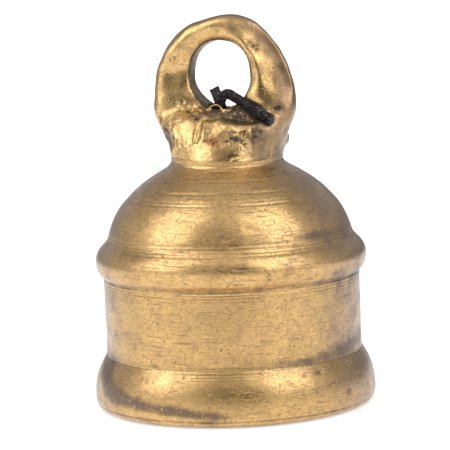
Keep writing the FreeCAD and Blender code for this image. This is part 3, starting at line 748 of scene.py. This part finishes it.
def roughenCrown(crown, marks):
    places = readPlaces(crown)
    # the foot follows the seam and sinks a little into the body
    near = np.clip((72.5 - places[:, 2]) / 4.0, 0, 1)
    sunk = marks["sink"] * np.clip((70 - places[:, 2]) / 1.5, 0, 1)
    places[:, 2] += seamLift(places) * near - sunk
    writePlaces(crown, places)
    pressSpots(crown, marks["dents"])
    pressSpots(crown, marks["bulges"])
    for points, reach, depth in marks["creases"]:
        pressLine(crown, points, reach, depth)
    pressSpots(crown, marks["pits"])
    level = readPlaces(crown)[:, 2]
    groupFrom(crown, "rough", np.clip((86 - level) / 8, 0.1, 1) * np.clip((level - 68.6) / 1.5, 0, 1))
    for size, height, layers, group in marks["uneven"]:
        unevenSkin(crown, size, height, layers, group)


# the lip is bare brass between its points
def lipField(places, lip):
    total = np.zeros(len(places))
    for start, end in zip(lip, lip[1:]):
        for share in (0.0, 0.5, 1.0):
            spot = np.array(start[:3]) * (1 - share) + np.array(end[:3]) * share
            total += np.exp(-(np.linalg.norm(places - spot, axis=1) / 0.55) ** 2)
    return total


def paintCrown(crown, marks):
    places = readPlaces(crown)
    level = places[:, 2]
    across, turn, ring = acrossLoop(places, marks)
    pitGrime = [(x, y, z, 0.9 * reach, marks["pitGrime"]) for x, y, z, reach, _ in marks["pits"]]
    # dirt, with painted shade under the staple, in the slot and in the lower left recess
    grimeAndShade = spotField(places, marks["grimeAndShade"] + pitGrime)
    # painted shade on the hole's wall
    grimeAndShade += marks["holeShade"] * np.clip((1.09 - ring) / 0.05, 0, 1) * (level > 80)
    # dirt comes and goes along the seam
    angle = np.arctan2(places[:, 1], places[:, 0])
    seam = np.exp(-((level - 68.3 - seamLift(places)) / 0.35) ** 2)
    grimeAndShade += marks["seamGrime"] * seam * (0.5 + 0.5 * np.sin(3 * angle))
    # the right side of the neck is dull and dirty, and painted darker as shade
    side = np.clip((places[:, 0] - 9.5) / 3, 0, 1)
    grimeAndShade += marks["neckShadeAndGrime"] * np.clip((78 - level) / 4, 0, 1) * side
    grimeAndShade -= marks["lipWear"] * lipField(places, marks["lip"])
    # film keeps to the loop's outer edge, and lies wider on the right leg and the right of the neck; there it
    # is painted shade, darkening faces that the right lamp lights
    filmAndPaintedLight = marks["edgeFilmAndShade"] * np.clip((across - 0.78) / 0.22, 0, 1)
    filmAndPaintedLight += onRightLeg(turn) * np.clip((across - 0.5) / 0.25, 0, 1)
    filmAndPaintedLight = filmAndPaintedLight * smoothRise(level, *marks["filmAndShadeRise"])
    filmAndPaintedLight += np.clip((79 - level) / 4, 0, 1) * np.clip((places[:, 0] - 8.5) / 3, 0, 1)
    paintAmount(crown, "grimeAndShade", grimeAndShade)
    paintAmount(crown, "rust", spotField(places, marks["rust"]))
    paintAmount(crown, "pitted", spotField(places, marks["pitted"]))
    paintAmount(crown, "filmAndPaintedLight", filmAndPaintedLight)


crown = copyOfNode("crown_loop", "crownSkin", crownMarks["grain"])
softenCrown(crown, crownMarks)
joinLip(crown, crownMarks)
roughenCrown(crown, crownMarks)
paintCrown(crown, crownMarks)
finishPiece(crown, "crown_loop", "bell", roughBrass)
print("crown aged,", len(crown.data.polygons), "faces")


# iron: grain of the skin, size and height of the hammer marks, and how much thinner the ends that show
# above the slot are beaten, in mm
ironWork = {
    "clapper_staple": {"name": "stapleSkin", "body": "bell", "grain": 0.17, "hammer": (2.2, 0.08),
                       "thinned": 0.3},
    "clapper_link": {"name": "linkSkin", "body": "link", "grain": 0.17, "hammer": (1.5, 0.06), "thinned": 0},
    "clapper_rod": {"name": "rodSkin", "body": "clapper", "grain": 0.2, "hammer": (2.0, 0.06), "thinned": 0},
}
for node, work in ironWork.items():
    iron = copyOfNode(node, work["name"], work["grain"])
    applyModifier(iron, "SMOOTH", factor=0.5, iterations=3)
    pressIn(iron, -work["thinned"] * np.clip((readPlaces(iron)[:, 2] - 76) / 4, 0, 1))
    unevenSkin(iron, *work["hammer"], 1)
    finishPiece(iron, node, work["body"], blackIron)

# bob: grain, lumps in the skin, and even dirt and film all over
bobMarks = {"grain": 0.3, "uneven": (3.0, 0.1, 2), "grimeAndShade": 0.2, "filmAndPaintedLight": 0.3}
bob = copyOfNode("clapper_bob", "bobSkin", bobMarks["grain"])
applyModifier(bob, "SMOOTH", factor=0.5, iterations=3)
unevenSkin(bob, *bobMarks["uneven"])
for layer in ("grimeAndShade", "filmAndPaintedLight"):
    paintAmount(bob, layer, np.full(len(bob.data.vertices), bobMarks[layer]))
finishPiece(bob, "clapper_bob", "clapper", bobBrass)
print("iron work and bob done")


# floor, lights and camera, in metres and degrees; azimuths are from the front (-Y) towards +X
studio = {
    "floorSize": 30.0, "floorColour": tint(0.85, 0.84, 0.83),
    # the floor glows a little, more further off, so that it stays evenly pale
    "glowNear": 0.5, "glowFar": 0.95, "glowFrom": 0.25, "glowReach": 0.8,
    "skyLow": tint(0.6, 0.6, 0.61), "skyHigh": tint(0.34, 0.34, 0.35), "skyTop": tint(0.75, 0.75, 0.76),
    # dark cards low in front and behind: azimuth, distance, width, height, grey
    "cards": [(18, 0.46, 0.42, 0.5, 0.06), (148, 0.5, 0.9, 0.25, 0.2), (-112, 0.5, 0.7, 0.25, 0.35)],
    # how far up a card starts to pale and is palest, from its middle, in card heights
    "cardFade": (-0.05, 0.45), "cardTop": tint(0.5, 0.5, 0.5),
    # azimuth, elevation, distance, width, height, power
    "boxes": [(-50, 39, 0.6, 0.42, 0.6, 1.9), (66, 39, 0.6, 0.42, 0.6, 1.9)],
    "azimuth": 18.0, "elevation": 7.5, "distance": 0.681, "lens": 200.0, "roll": -2.2,
    "aimLevel": 0.0488, "aimSide": -0.00128, "lightsAim": 0.05,
}


def directionOf(azimuth, elevation):
    a, e = math.radians(azimuth), math.radians(elevation)
    return Vector((math.sin(a) * math.cos(e), -math.cos(a) * math.cos(e), math.sin(e)))


def makeFloor():
    startAlone()
    bpy.ops.mesh.primitive_plane_add(size=studio["floorSize"])
    floor = bpy.context.object
    floor.name = "floor"
    material, tree, surface, where = newMaterial("paleFloor")
    surface.inputs["Base Color"].default_value = studio["floorColour"]
    surface.inputs["Roughness"].default_value = 0.9
    away = addNode(tree, "ShaderNodeVectorMath", {0: where}, operation="LENGTH").outputs["Value"]
    glow = spread(tree, away, studio["glowFrom"], studio["glowReach"], studio["glowNear"], studio["glowFar"])
    surface.inputs["Emission Color"].default_value = tint(1, 1, 1)
    tree.links.new(glow, surface.inputs["Emission Strength"])
    floor.data.materials.append(material)


# dark cards, paler towards the top, give the brass its dark middle and edges; the camera doesn't see them
def makeCards():
    for azimuth, distance, width, height, grey in studio["cards"]:
        way = directionOf(azimuth, 0)
        startAlone()
        bpy.ops.mesh.primitive_plane_add(size=1)
        card = bpy.context.object
        card.name = "darkCard"
        card.scale = (width, height, 1)
        card.rotation_euler = way.to_track_quat("Z", "Y").to_euler()
        card.location = way * distance + Vector((0, 0, height / 2))
        material, tree, surface, where = newMaterial("darkCard")
        up = addNode(tree, "ShaderNodeSeparateXYZ", {0: where}).outputs["Y"]
        pale = spread(tree, up, *studio["cardFade"])
        colour = mixColour(tree, pale, tint(grey, grey, grey), studio["cardTop"])
        tree.links.new(colour, surface.inputs["Base Color"])
        surface.inputs["Roughness"].default_value = 1.0
        card.data.materials.append(material)
        card.visible_camera = False
        card.visible_shadow = False
        card.visible_diffuse = False


def makeSky():
    world = bpy.data.worlds.new("studio")
    bpy.context.scene.world = world
    world.use_nodes = True
    tree = world.node_tree
    way = addNode(tree, "ShaderNodeTexCoord").outputs["Generated"]
    up = addNode(tree, "ShaderNodeSeparateXYZ", {0: way}).outputs["Z"]
    colour = mixColour(tree, spread(tree, up, 0.05, 0.6), studio["skyLow"], studio["skyHigh"])
    colour = mixColour(tree, spread(tree, up, 0.8, 0.97), colour, studio["skyTop"])
    tree.links.new(colour, tree.nodes["Background"].inputs["Color"])


def makeLights():
    middle = Vector((0, 0, studio["lightsAim"]))
    for azimuth, elevation, distance, width, height, power in studio["boxes"]:
        way = directionOf(azimuth, elevation)
        startAlone()
        bpy.ops.object.light_add(type="AREA", location=middle + way * distance)
        lamp = bpy.context.object
        lamp.data.shape = "RECTANGLE"
        lamp.data.size, lamp.data.size_y = width, height
        lamp.data.energy = power
        lamp.rotation_euler = way.to_track_quat("Z", "Y").to_euler()
        lamp.visible_camera = False


def makeCamera():
    back = directionOf(studio["azimuth"], studio["elevation"])
    right = Vector((0, 0, 1)).cross(back).normalized()
    startAlone()
    bpy.ops.object.camera_add()
    camera = bpy.context.object
    camera.data.lens = studio["lens"]
    aim = Vector((0, 0, studio["aimLevel"])) + right * studio["aimSide"]
    camera.location = aim + back * studio["distance"]
    level = back.to_track_quat("Z", "Y").to_matrix()
    camera.rotation_euler = (level @ Matrix.Rotation(math.radians(studio["roll"]), 3, "Z")).to_euler()
    camera.data.clip_start = 0.01
    bpy.context.scene.camera = camera


makeFloor()
makeCards()
makeSky()
makeLights()
makeCamera()
bpy.context.scene.view_settings.view_transform = "Standard"
print("floor, lights and camera placed")
